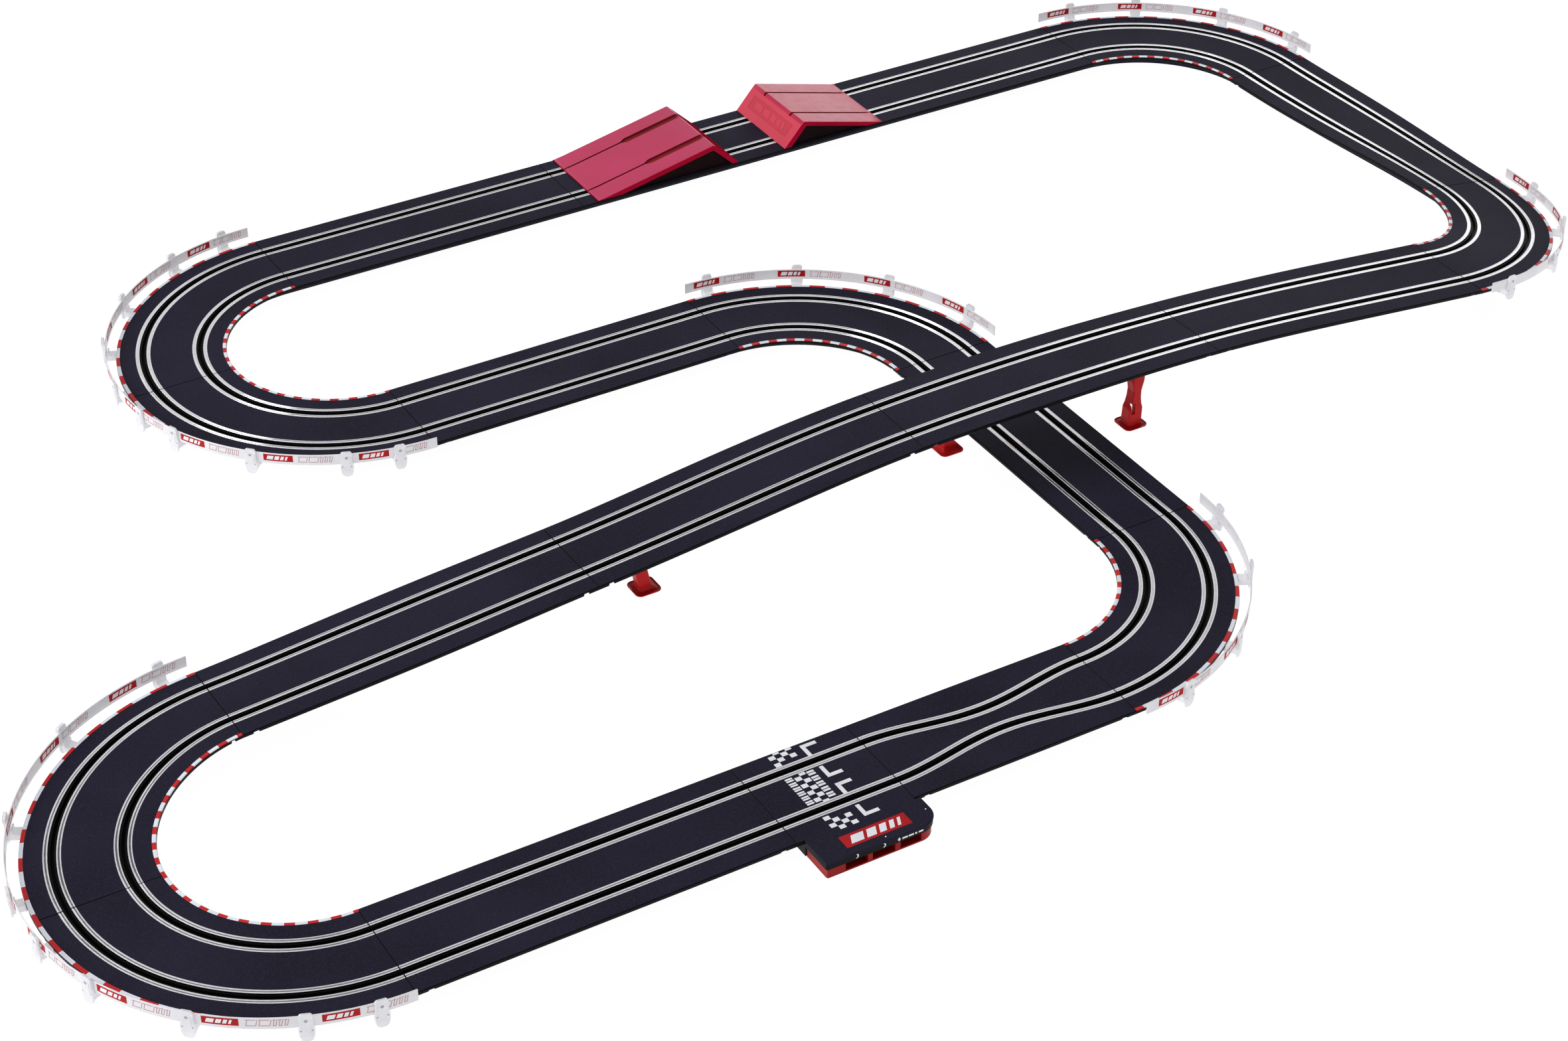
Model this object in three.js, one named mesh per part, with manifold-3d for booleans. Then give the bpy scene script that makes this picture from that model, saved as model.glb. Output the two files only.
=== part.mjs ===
// Slot car track set: a closed two-lane circuit that crosses over itself on a bridge, with a jump, edge
// fences and the section that the controllers plug into. Millimetres, +Z up.
import * as THREE from 'three';
import { mergeVertices } from 'three/addons/utils/BufferGeometryUtils.js';
import Module from 'manifold-3d';

const wasm = await Module();
wasm.setup();

// Driving dimensions. The running surface of a flat section is at z = 0 until the whole set is moved.
const MODULE = 342;            // length of a full straight
const TRACK_WIDTH = 111;
const CURVE_RADIUS = 171;      // to the centre line
const LANE_OFFSET = 28.5;      // centre line to slot
const DECK_THICKNESS = 2.2;
const SKIRT_DEPTH = 3.8;
const SKIRT_WALL = 2;
const KEEL_DEPTH = 17;         // running surface to floor
const KEEL_WIDTH = 16;
const SLOT_WIDTH = 3;
const SLOT_DEPTH = 6;
const JOINT_GAP = 0.3;
const LANE_SQUEEZE = 13.5;     // how far each lane moves in at the middle of the chicane
const TONGUE = { width: 30, root: 12, reach: 8, top: 2.6, bottom: 4.6 };

const FENCE = { offset: 65, thickness: 1.2, bottom: 1.8, top: 13.4, endGap: 2 };
const HOLDER_LENGTH = 12;
const FENCE_LIFT_CLEARANCE = 0.5;

const CURVE_LENGTH = CURVE_RADIUS * Math.PI / 2;
const CURVE_STEPS = 15;
const FLEX_STEPS = 6;
const HALF_WIDTH = TRACK_WIDTH / 2;
const GROUND = -KEEL_DEPTH;

const COLOURS = {
  asphalt: { color: 0x242230, roughness: 0.85, metalness: 0 },
  red: { color: 0xa5191e, roughness: 0.4, metalness: 0 },
  crimson: { color: 0xb8324e, roughness: 0.35, metalness: 0 },
  clear: { color: 0xe6e6ea, roughness: 0.3, metalness: 0 },
  steel: { color: 0xd8d8dc, roughness: 0.3, metalness: 1 },
};

// The circuit, in driving order from the front left. turn is +1 to the left, -1 to the right, 0 straight.
// rise is the height of the running surface at the section's far end, slope its climb along the track
// there, and bank its climb to the left.
const straight = (name, length, rise = 0, slope = 0, bank = 0) => (
  { name, length, turn: 0, rise, slope, bank });
const curve = (name, turn, rise = 0, slope = 0) => (
  { name, length: CURVE_LENGTH, turn, rise, slope, bank: 0 });
const ROUTE = [
  straight('front_straight', MODULE),
  straight('connecting_section', MODULE / 3),
  straight('chicane', MODULE * 2 / 3),
  curve('right_front_curve', 1),
  straight('underpass_straight', MODULE),
  curve('right_middle_curve', 1),
  straight('middle_straight', MODULE),
  curve('rear_loop_curve_1', -1),
  curve('rear_loop_curve_2', -1),
  straight('jump_straight_1', MODULE),
  straight('jump_straight_2', MODULE),
  straight('jump_straight_3', MODULE),
  curve('far_curve', -1),
  straight('far_straight', MODULE, 7.1, 0, -0.159),
  curve('climbing_curve', -1, 38.2, 0.108),
  straight('bridge_straight_1', MODULE, 72.1, 0.055, 0.028),
  straight('bridge_straight_2', MODULE, 74.9, -0.041, 0.02),
  straight('bridge_straight_3', MODULE, 41.4, -0.083, 0.04),
  straight('bridge_straight_4', MODULE, 12.2, -0.074, 0.063),
  curve('front_loop_curve_1', 1),
  curve('front_loop_curve_2', 1),
];
const ROUTE_START = { x: 0, y: -CURVE_RADIUS, heading: 0 };

// Gives every section its start point and heading, and the height, slope and bank that it starts with.
function layOut(route) {
  let { x, y, heading } = ROUTE_START;
  route.forEach((section, i) => {
    const before = route[(i + route.length - 1) % route.length];
    Object.assign(section, { x, y, heading });
    Object.assign(section, { startRise: before.rise, startSlope: before.slope, startBank: before.bank });
    const end = planPoint(section, section.length, 0);
    x += end.x * Math.cos(heading) - end.y * Math.sin(heading);
    y += end.x * Math.sin(heading) + end.y * Math.cos(heading);
    heading += section.turn * Math.PI / 2;
  });
}

// A point of the plan in the section's own frame: s along the centre line, t to the left of it.
function planPoint(section, s, t) {
  if (section.turn === 0) return { x: s, y: t };
  const angle = s / CURVE_RADIUS;
  const radius = CURVE_RADIUS - section.turn * t;
  return {
    x: radius * Math.sin(angle),
    y: section.turn * (CURVE_RADIUS - radius * Math.cos(angle)),
  };
}

// Height of the running surface: a cubic along the section, leaning sideways between banked joints.
function surfaceHeight(section, s, t) {
  const u = s / section.length;
  const rise = section.startRise + (section.rise - section.startRise) * u * u * (3 - 2 * u);
  const lift = section.length * (section.startSlope * u * (1 - u) ** 2 - section.slope * u * u * (1 - u));
  const ease = (v) => (v * v * (3 - 2 * v)) ** 2;
  const bank = section.startBank * ease(1 - u) + section.bank * ease(u);
  return rise + lift + bank * t;
}

// Bends geometry whose x, y, z are t (left), height and s (along) to follow a run of joined sections.
function bendAlong(geometry, run, squeeze = () => 0) {
  const position = geometry.attributes.position;
  for (let i = 0; i < position.count; i++) {
    const s = position.getZ(i);
    let t = position.getX(i);
    if (Math.abs(Math.abs(t) - LANE_OFFSET) <= KEEL_WIDTH / 2 + 0.01) t -= Math.sign(t) * squeeze(s);
    let section = run[0];
    let along = s;
    for (const next of run.slice(1)) {
      if (along <= section.length) break;
      along -= section.length;
      section = next;
    }
    const plan = planPoint(run[0], s, t);
    position.setXYZ(i, plan.x, plan.y, surfaceHeight(section, along, t) + position.getY(i));
  }
  geometry.computeVertexNormals();
  return geometry;
}

const outline = (points) => new THREE.Shape(points.map(([x, y]) => new THREE.Vector2(x, y)));

function extrude(shape, depth, steps = 1, curveSegments = 8) {
  return new THREE.ExtrudeGeometry(shape, { depth, steps, curveSegments, bevelEnabled: false });
}

// Booleans: a three.js geometry becomes a manifold solid and back.
function solidOf(geometry) {
  const bare = geometry.clone();
  bare.deleteAttribute('normal');
  bare.deleteAttribute('uv');
  const merged = mergeVertices(bare, 1e-3);
  return new wasm.Manifold(new wasm.Mesh({
    numProp: 3,
    vertProperties: new Float32Array(merged.attributes.position.array),
    triVerts: new Uint32Array(merged.index.array),
  }));
}

function geometryOf(solid) {
  const mesh = solid.getMesh();
  const geometry = new THREE.BufferGeometry();
  geometry.setAttribute('position', new THREE.BufferAttribute(mesh.vertProperties, 3));
  geometry.setIndex(new THREE.BufferAttribute(mesh.triVerts, 1));
  geometry.computeVertexNormals();
  return geometry;
}

const boxSolid = (low, high) => {
  const size = high.map((value, i) => value - low[i]);
  const box = new THREE.BoxGeometry(...size);
  box.translate(low[0] + size[0] / 2, low[1] + size[1] / 2, low[2] + size[2] / 2);
  return solidOf(box);
};

// Cross-section of the track: a deck with two slots, a skirt at each edge and a keel under each lane.
function trackSection() {
  const half = [];
  const slot = [LANE_OFFSET - SLOT_WIDTH / 2, LANE_OFFSET + SLOT_WIDTH / 2];
  const keel = [LANE_OFFSET - KEEL_WIDTH / 2, LANE_OFFSET + KEEL_WIDTH / 2];
  half.push([slot[0], 0], [slot[0], -SLOT_DEPTH], [slot[1], -SLOT_DEPTH], [slot[1], 0]);
  half.push([HALF_WIDTH, 0], [HALF_WIDTH, -SKIRT_DEPTH], [HALF_WIDTH - SKIRT_WALL, -SKIRT_DEPTH]);
  half.push([HALF_WIDTH - SKIRT_WALL, -DECK_THICKNESS], [keel[1], -DECK_THICKNESS]);
  half.push([keel[1], -KEEL_DEPTH], [keel[0], -KEEL_DEPTH], [keel[0], -DECK_THICKNESS]);
  const mirrored = half.map(([t, z]) => [-t, z]).reverse();
  return outline([...half, ...mirrored]);
}

// The tongue that reaches under the next section, drawn as along and height and extruded across.
function tongueSolid(section) {
  const end = section.length;
  const { width, root, reach, top, bottom } = TONGUE;
  const inDeck = -DECK_THICKNESS + 0.2;
  const side = outline([
    [end - root, inDeck], [end - root, -bottom], [end + reach, -bottom],
    [end + reach, -top], [end - 1, -top], [end - 1, inDeck],
  ]);
  const tongue = extrude(side, width);
  tongue.translate(0, 0, -width / 2);
  tongue.rotateY(-Math.PI / 2);
  return solidOf(bendAlong(tongue, [section]));
}

function trackSolid(section) {
  const isChicane = section.name === 'chicane';
  const isFlexed = section.rise > 0 || section.startRise > 0;
  const steps = section.turn !== 0 || isChicane ? CURVE_STEPS : isFlexed ? FLEX_STEPS : 1;
  const body = extrude(trackSection(), section.length - JOINT_GAP, steps);
  body.translate(0, 0, JOINT_GAP / 2);
  const squeeze = isChicane
    ? (s) => LANE_SQUEEZE * (1 - Math.cos(2 * Math.PI * s / section.length)) / 2
    : () => 0;
  bendAlong(body, [section], squeeze);
  return solidOf(body).add(tongueSolid(section));
}

const set = new THREE.Group();
const routeFrame = new THREE.Group();
set.add(routeFrame);

function place(name, colour, geometry, x = 0, y = 0, heading = 0) {
  const mesh = new THREE.Mesh(geometry, new THREE.MeshStandardMaterial(COLOURS[colour]));
  mesh.name = name;
  mesh.position.set(x, y, 0);
  mesh.rotation.z = heading;
  routeFrame.add(mesh);
}

const sectionNamed = (name) => ROUTE.find((section) => section.name === name);

// Terminal box at the outer edge of the connecting section. Its black top and the black body under the
// deck's edge are one moulding with the deck.
const TERMINAL = { left: 7, right: 119, front: 90, topDepth: 7, corner: 18, inset: 1.5 };
const SOCKETS = [{ from: 26.5, to: 48 }, { from: 52.5, to: 74.5 }, { from: 79.5, to: 100 }];
const SOCKET = { top: 8, bottom: 15.5, depth: 17 };
const STRIP = { from: 30, to: 94, back: 38, front: 69.5, top: 8.3, bottom: 9.7 };

function terminalOutline(inset) {
  const { left, right, front, corner } = TERMINAL;
  const back = HALF_WIDTH + JOINT_GAP;
  const shape = new THREE.Shape();
  shape.moveTo(left + inset, -back);
  shape.lineTo(left + inset, -front + inset);
  shape.lineTo(right - corner, -front + inset);
  shape.quadraticCurveTo(right - inset, -front + inset, right - inset, -front + corner);
  shape.lineTo(right - inset, -back);
  shape.closePath();
  return shape;
}

function terminalTop() {
  const plate = extrude(terminalOutline(0), TERMINAL.topDepth);
  plate.translate(0, 0, -TERMINAL.topDepth);
  const end = sectionNamed('connecting_section').length - 1;
  const seam = boxSolid([TERMINAL.left, -HALF_WIDTH - 1, -TERMINAL.topDepth], [end, -HALF_WIDTH + 1, 0]);
  const keel = -LANE_OFFSET - KEEL_WIDTH / 2;
  const body = boxSolid([TERMINAL.left + 0.6, -HALF_WIDTH, GROUND], [end, keel + 1, -1]);
  return solidOf(plate).add(seam).add(body);
}

// The slot that the contact strip lies in, with a gap all round it.
function stripSlot() {
  return boxSolid(
    [STRIP.from - JOINT_GAP, -STRIP.front - JOINT_GAP, -STRIP.bottom - JOINT_GAP],
    [STRIP.to + JOINT_GAP, -STRIP.back + JOINT_GAP, -STRIP.top + JOINT_GAP],
  );
}

function terminalHousing() {
  const height = KEEL_DEPTH - TERMINAL.topDepth - JOINT_GAP;
  const block = extrude(terminalOutline(TERMINAL.inset), height);
  block.translate(0, 0, GROUND);
  let housing = solidOf(block);
  for (const { from, to } of SOCKETS) {
    const pocket = boxSolid(
      [from, -TERMINAL.front - 1, -SOCKET.bottom],
      [to, -TERMINAL.front + SOCKET.depth, -SOCKET.top],
    );
    housing = housing.subtract(pocket);
  }
  return housing.subtract(stripSlot());
}

// Jump ramps: a bent plate across the track, with a groove for each lane, standing on the deck.
const RAMP_WIDTH = 109;
const RAMP_FLOOR = 0.3;
const TAKE_OFF = {
  outline: [[0, 0], [147, 29.8], [178.5, 0], [171, 0], [146.3, 23.4], [31, 0]],
  crest: 147, height: 29.8, narrow: 2.4, wide: 9.4, widenFrom: 72.5, widenTo: 79.5,
};
const LANDING = {
  outline: [[0, 0], [24.7, 27.9], [130, 0], [111, 0], [28.3, 21.9], [8.5, 0]],
  crest: 24.7, height: 27.9, narrow: 3.4,
};
const RAMP_GROOVE_DEPTH = 3;
const TAKE_OFF_X = 702;
const LANDING_X = 941;

// An outline in x and height, extruded across the track and centred on the lane pair.
function acrossTrack(points, width) {
  const geometry = extrude(outline(points), width);
  geometry.rotateX(Math.PI / 2);
  geometry.translate(0, width / 2, RAMP_FLOOR);
  return solidOf(geometry);
}

// A strip of the given plan outline, cut to the layer just under a ramp's sloping top.
function rampGroove(plan, from, to) {
  const column = extrude(outline(plan), 60);
  column.translate(0, 0, -10);
  const [x0, z0] = from;
  const [x1, z1] = to;
  const layer = acrossTrack([
    [x0, z0 - RAMP_GROOVE_DEPTH], [x1, z1 - RAMP_GROOVE_DEPTH], [x1, z1 + 9], [x0, z0 + 9],
  ], RAMP_WIDTH);
  return solidOf(column).intersect(layer);
}

function takeOffRamp() {
  let ramp = acrossTrack(TAKE_OFF.outline, RAMP_WIDTH);
  const { crest, height, narrow, wide, widenFrom, widenTo } = TAKE_OFF;
  for (const side of [-1, 1]) {
    const lane = side * LANE_OFFSET;
    const plan = [
      [-5, lane - narrow / 2], [widenFrom, lane - narrow / 2], [widenTo, lane - wide / 2],
      [crest + 2, lane - wide / 2], [crest + 2, lane + wide / 2], [widenTo, lane + wide / 2],
      [widenFrom, lane + narrow / 2], [-5, lane + narrow / 2],
    ];
    const grade = height / crest;
    ramp = ramp.subtract(rampGroove(plan, [14, 14 * grade], [crest + 4, height + 4 * grade]));
  }
  return ramp;
}

function landingRamp() {
  let ramp = acrossTrack(LANDING.outline, RAMP_WIDTH);
  const { crest, height, narrow } = LANDING;
  const length = LANDING.outline[2][0];
  const grade = height / (length - crest);
  for (const side of [-1, 1]) {
    const lane = side * LANE_OFFSET;
    const plan = [
      [crest - 6, lane - narrow / 2], [length, lane - narrow / 2],
      [length, lane + narrow / 2], [crest - 6, lane + narrow / 2],
    ];
    const groove = rampGroove(plan, [crest - 6, height + 6 * grade], [length - 14, 14 * grade]);
    ramp = ramp.subtract(groove);
  }
  return ramp;
}

// Bridge supports: a dished foot and a pillar up to the underside of the deck. A shaft's rings are
// [height, half length, half width]; the tall one has a slot in front and an open pocket behind it.
const SUPPORTS = [
  { name: 'support_low', x: 413, y: 166, lean: -12, shaft: [[6, 6.5, 6], [54, 6, 5.5]] },
  { name: 'support_middle', x: 779, y: 217, lean: 0, shaft: [[6, 6.5, 4], [80, 6, 4]] },
  {
    name: 'support_tall', x: 961, y: 163, lean: 4,
    shaft: [[6, 8, 7], [21, 7.8, 6.8], [26, 6.2, 6.4], [33, 5.2, 6], [41, 4.8, 6], [52, 7, 6], [80, 7, 6]],
  },
];
const FOOT = [[0, 10, 10, 4], [1.8, 13, 13, 5.5], [2.8, 13, 13, 5.5], [2.2, 11, 11, 4.5], [3, 8.5, 7.5, 3]];
const HEAD = { length: 8.5, width: 6.5, height: 5 };
const WINDOW = { left: -5, right: -0.6, low: 16, high: 28, wall: 3.4 };
const POCKETS = [{ low: 5, high: 19, half: 5.9 }, { low: 18.9, high: 30, half: 4 }];
const RING_CORNER = 4;

// A closed solid through level rounded rectangles, each [height, half length, half width, corner, offset].
function loftSolid(rings) {
  const positions = [];
  for (const [z, halfX, halfY, corner, offset] of rings) {
    for (let quarter = 0; quarter < 4; quarter++) {
      const x = offset + (halfX - corner) * (quarter % 3 === 0 ? 1 : -1);
      const y = (halfY - corner) * (quarter < 2 ? 1 : -1);
      for (let i = 0; i <= RING_CORNER; i++) {
        const angle = (quarter + i / RING_CORNER) * Math.PI / 2;
        positions.push(x + corner * Math.cos(angle), y + corner * Math.sin(angle), z);
      }
    }
  }
  const count = 4 * (RING_CORNER + 1);
  const last = (rings.length - 1) * count;
  const indices = [];
  for (let i = 1; i < count - 1; i++) indices.push(0, i + 1, i, last, last + i, last + i + 1);
  for (let base = 0; base < last; base += count) {
    for (let i = 0; i < count; i++) {
      const j = (i + 1) % count;
      indices.push(base + i, base + j, base + count + j, base + i, base + count + j, base + count + i);
    }
  }
  const geometry = new THREE.BufferGeometry();
  geometry.setAttribute('position', new THREE.Float32BufferAttribute(positions, 3));
  geometry.setIndex(indices);
  return solidOf(geometry);
}

function bridgeUnderside(x, y) {
  const bridges = ROUTE.filter(({ name }) => name.startsWith('bridge'));
  const over = bridges.find(({ x: start }) => x <= start && x > start - MODULE);
  return surfaceHeight(over, over.x - x, over.y - y) - DECK_THICKNESS;
}

function supportSolid({ name, x, y, lean, shaft }) {
  const headWidth = name === 'support_middle' ? 4 : HEAD.width;
  const corners = [-1, 1].flatMap((i) => [-1, 1].map(
    (j) => bridgeUnderside(x + lean + i * HEAD.length, y + j * headWidth),
  ));
  const top = Math.min(...corners) - JOINT_GAP - GROUND;
  const rings = FOOT.map((ring) => [...ring, 0]);
  for (const [z, length, width] of shaft) {
    rings.push([Math.min(z, top - HEAD.height), length, width, 1.5, lean * z / top]);
  }
  rings.push([top, HEAD.length, headWidth, 1.5, lean]);
  let solid = loftSolid(rings);
  if (name === 'support_tall') {
    const { left, right, low, high, wall } = WINDOW;
    const front = -7 + wall;
    solid = solid.subtract(boxSolid([left, -9, low], [right, front + 1, high]));
    for (const pocket of POCKETS) {
      solid = solid.subtract(boxSolid([-pocket.half, front, pocket.low], [pocket.half, 9, pocket.high]));
    }
  }
  return solid.translate(0, 0, GROUND);
}

// Edge fences stand outside the curves in holders that hook round the skirt.
const fence = (name, sections, holderAngles) => ({ name, sections, holderAngles });
const FENCES = [
  fence('right_front', ['right_front_curve'], [12.5, 34, 60, 82]),
  fence('right_middle', ['right_middle_curve'], [11, 35.5, 59.5, 83]),
  fence('rear_loop', ['rear_loop_curve_1', 'rear_loop_curve_2'], [10, 45, 79, 113, 156]),
  fence('far', ['far_curve'], [11.5, 31.5, 57.5, 82]),
  fence('climbing', ['climbing_curve'], [12.5, 36, 60, 83]),
  fence('front_loop', ['front_loop_curve_1', 'front_loop_curve_2'], [33, 61, 98, 136, 172]),
];

function fenceGeometry(run) {
  const outside = -run[0].turn;
  const { offset, thickness, bottom, top, endGap } = FENCE;
  const [inner, outer] = [offset - thickness / 2, offset + thickness / 2].map((t) => outside * t);
  const strip = outline([[inner, bottom], [outer, bottom], [outer, top], [inner, top]]);
  const length = run.length * CURVE_LENGTH - 2 * endGap;
  const geometry = extrude(strip, length, 18 * run.length);
  geometry.translate(0, 0, endGap);
  return bendAlong(geometry, run);
}

function holderGeometry(run, angle) {
  const outside = -run[0].turn;
  const edge = HALF_WIDTH;
  const inCheek = FENCE.offset - FENCE.thickness / 2 - FENCE_LIFT_CLEARANCE;
  const outCheek = FENCE.offset + FENCE.thickness / 2 + FENCE_LIFT_CLEARANCE;
  const hookTop = -DECK_THICKNESS - 0.6;
  const hookFloor = -SKIRT_DEPTH - 0.4;
  const profile = outline([
    [edge - 5, hookTop], [edge - 2.9, hookTop], [edge - 2.9, hookFloor], [edge + 0.4, hookFloor],
    [edge + 0.4, -0.6], [inCheek - 2, -0.6], [inCheek - 2, FENCE.bottom + 1.4], [inCheek, FENCE.bottom + 1.4],
    [inCheek, FENCE.bottom - 0.8], [outCheek, FENCE.bottom - 0.8], [outCheek, FENCE.top + 3.4],
    [outCheek + 2, FENCE.top + 3.4], [outCheek + 2.6, 1], [outCheek + 1.6, -7], [outCheek - 1, -11.2],
    [outCheek - 4, -11.2], [edge + 2, -7.4], [edge - 5, -7.4],
  ].map(([t, z]) => [outside * t, z]));
  const geometry = extrude(profile, HOLDER_LENGTH);
  geometry.translate(0, 0, angle / 90 * CURVE_LENGTH - HOLDER_LENGTH / 2);
  return bendAlong(geometry, run);
}

layOut(ROUTE);

for (const section of ROUTE) {
  let solid = trackSolid(section);
  if (section.name === 'connecting_section') solid = solid.add(terminalTop()).subtract(stripSlot());
  place(section.name, 'asphalt', geometryOf(solid), section.x, section.y, section.heading);
}

const terminal = sectionNamed('connecting_section');
place('terminal_housing', 'red', geometryOf(terminalHousing()), terminal.x, terminal.y);
const strip = boxSolid([STRIP.from, -STRIP.front, -STRIP.bottom], [STRIP.to, -STRIP.back, -STRIP.top]);
place('terminal_contact_strip', 'steel', geometryOf(strip), terminal.x, terminal.y);

const jumpY = sectionNamed('jump_straight_1').y;
place('take_off_ramp', 'crimson', geometryOf(takeOffRamp()), TAKE_OFF_X, jumpY);
place('landing_ramp', 'crimson', geometryOf(landingRamp()), LANDING_X, jumpY);

for (const support of SUPPORTS) {
  place(support.name, 'red', geometryOf(supportSolid(support)), support.x, support.y);
}

for (const { name, sections, holderAngles } of FENCES) {
  const run = sections.map(sectionNamed);
  const { x, y, heading } = run[0];
  place(`${name}_fence`, 'clear', fenceGeometry(run), x, y, heading);
  holderAngles.forEach((angle, i) => {
    place(`${name}_holder_${i + 1}`, 'clear', holderGeometry(run, angle), x, y, heading);
  });
}

// The origin is the middle of the set's footprint, on the floor.
routeFrame.updateMatrixWorld(true);
const bounds = new THREE.Box3().setFromObject(routeFrame, true);
const centre = bounds.getCenter(new THREE.Vector3());
routeFrame.position.set(-centre.x, -centre.y, -bounds.min.z);

export default set;
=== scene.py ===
"""Looks of the slot car track set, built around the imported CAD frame. Lengths are millimetres in the
route frame of the CAD (the first straight starts at x = 0, its centre line at y = -171, and flat running
surface is z = 0) until put() turns them into metres in the row frame."""
import math

import bmesh
import bpy
from mathutils import Matrix, Vector


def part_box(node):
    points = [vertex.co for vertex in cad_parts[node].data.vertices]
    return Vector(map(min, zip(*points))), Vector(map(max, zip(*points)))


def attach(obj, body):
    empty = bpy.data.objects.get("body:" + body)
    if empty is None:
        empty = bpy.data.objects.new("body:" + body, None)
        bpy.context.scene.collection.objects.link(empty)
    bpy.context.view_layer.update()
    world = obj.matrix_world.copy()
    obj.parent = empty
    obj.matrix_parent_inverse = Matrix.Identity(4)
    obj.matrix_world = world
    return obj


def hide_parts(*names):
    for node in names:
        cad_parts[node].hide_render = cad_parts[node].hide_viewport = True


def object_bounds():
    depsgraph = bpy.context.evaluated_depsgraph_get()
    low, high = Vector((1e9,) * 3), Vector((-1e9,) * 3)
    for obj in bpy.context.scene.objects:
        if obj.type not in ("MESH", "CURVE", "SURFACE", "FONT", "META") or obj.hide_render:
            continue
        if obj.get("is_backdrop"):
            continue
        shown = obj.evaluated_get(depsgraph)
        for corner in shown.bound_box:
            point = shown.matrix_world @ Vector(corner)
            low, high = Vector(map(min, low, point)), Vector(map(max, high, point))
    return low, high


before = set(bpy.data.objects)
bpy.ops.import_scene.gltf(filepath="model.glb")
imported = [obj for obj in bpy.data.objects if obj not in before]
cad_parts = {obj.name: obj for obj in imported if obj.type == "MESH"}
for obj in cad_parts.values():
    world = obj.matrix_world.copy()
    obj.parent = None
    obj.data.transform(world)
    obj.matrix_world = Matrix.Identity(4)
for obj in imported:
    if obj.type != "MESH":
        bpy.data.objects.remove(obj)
cad_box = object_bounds()

MM = 0.001

# Driving dimensions of the track, the same as the CAD's.
MODULE = 342.0
CURVE_RADIUS = 171.0
CURVE_LENGTH = CURVE_RADIUS * math.pi / 2
HALF_WIDTH = 55.5
LANE = 28.5
DECK_THICKNESS = 2.2
SKIRT_DEPTH = 3.8
KEEL_DEPTH = 17.0
KEEL_HALF = 8.0
SLOT_HALF = 1.5
SLOT_DEPTH = 5.6
LANE_SQUEEZE = 13.5

# The front straight's box gives the row-frame place of the route's origin.
front_low, front_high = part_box("front_straight")
JOINT_HALF_GAP = 0.15
ORIGIN = Vector((
    front_low.x - JOINT_HALF_GAP * MM,
    (front_low.y + front_high.y) / 2 + CURVE_RADIUS * MM,
    front_low.z + KEEL_DEPTH * MM,
))


def put(x, y, z):
    return ORIGIN + MM * Vector((x, y, z))


# ---------------------------------------------------------------- the circuit

def straight(name, length, rise=0.0, slope=0.0, bank=0.0):
    return {"name": name, "length": length, "turn": 0, "rise": rise, "slope": slope, "bank": bank}


def curve(name, turn, rise=0.0, slope=0.0):
    return {"name": name, "length": CURVE_LENGTH, "turn": turn, "rise": rise, "slope": slope, "bank": 0.0}


ROUTE = [
    straight("front_straight", MODULE),
    straight("connecting_section", MODULE / 3),
    straight("chicane", MODULE * 2 / 3),
    curve("right_front_curve", 1),
    straight("underpass_straight", MODULE),
    curve("right_middle_curve", 1),
    straight("middle_straight", MODULE),
    curve("rear_loop_curve_1", -1),
    curve("rear_loop_curve_2", -1),
    straight("jump_straight_1", MODULE),
    straight("jump_straight_2", MODULE),
    straight("jump_straight_3", MODULE),
    curve("far_curve", -1),
    straight("far_straight", MODULE, 7.1, 0.0, -0.159),
    curve("climbing_curve", -1, 38.2, 0.108),
    straight("bridge_straight_1", MODULE, 72.1, 0.055, 0.028),
    straight("bridge_straight_2", MODULE, 74.9, -0.041, 0.02),
    straight("bridge_straight_3", MODULE, 41.4, -0.083, 0.04),
    straight("bridge_straight_4", MODULE, 12.2, -0.074, 0.063),
    curve("front_loop_curve_1", 1),
    curve("front_loop_curve_2", 1),
]
SECTION = {section["name"]: section for section in ROUTE}


def plan_point(section, s, t):
    """The plan of a section in its own frame: s along the centre line, t to the left of it."""
    turn = section["turn"]
    if turn == 0:
        return s, t
    angle = s / CURVE_RADIUS
    radius = CURVE_RADIUS - turn * t
    return radius * math.sin(angle), turn * (CURVE_RADIUS - radius * math.cos(angle))


def lay_out(route):
    """Gives every section its start point and heading, and the height, slope and bank there."""
    x, y, heading = 0.0, -CURVE_RADIUS, 0.0
    for i, section in enumerate(route):
        before = route[i - 1]
        section.update(x=x, y=y, heading=heading, start_rise=before["rise"])
        section.update(start_slope=before["slope"], start_bank=before["bank"])
        end_x, end_y = plan_point(section, section["length"], 0.0)
        x += end_x * math.cos(heading) - end_y * math.sin(heading)
        y += end_x * math.sin(heading) + end_y * math.cos(heading)
        heading += section["turn"] * math.pi / 2


lay_out(ROUTE)


def surface_height(section, s, t):
    """Height of the running surface: a cubic along the section, leaning between banked joints."""
    u = s / section["length"]
    rise = section["start_rise"] + (section["rise"] - section["start_rise"]) * u * u * (3 - 2 * u)
    lift = section["start_slope"] * u * (1 - u) ** 2 - section["slope"] * u * u * (1 - u)
    bank = section["start_bank"] * ease(1 - u) + section["bank"] * ease(u)
    return rise + section["length"] * lift + bank * t


def ease(v):
    return (v * v * (3 - 2 * v)) ** 2


def along(run, s, t, z):
    """The point s along a run of joined sections, t to the left, z above the running surface."""
    first = run[0]
    section, rest = first, s
    for following in run[1:]:
        if rest <= section["length"]:
            break
        rest -= section["length"]
        section = following
    plan_x, plan_y = plan_point(first, s, t)
    cos, sin = math.cos(first["heading"]), math.sin(first["heading"])
    return (
        first["x"] + plan_x * cos - plan_y * sin,
        first["y"] + plan_x * sin + plan_y * cos,
        surface_height(section, rest, t) + z,
    )


# ---------------------------------------------------------------- materials

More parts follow.
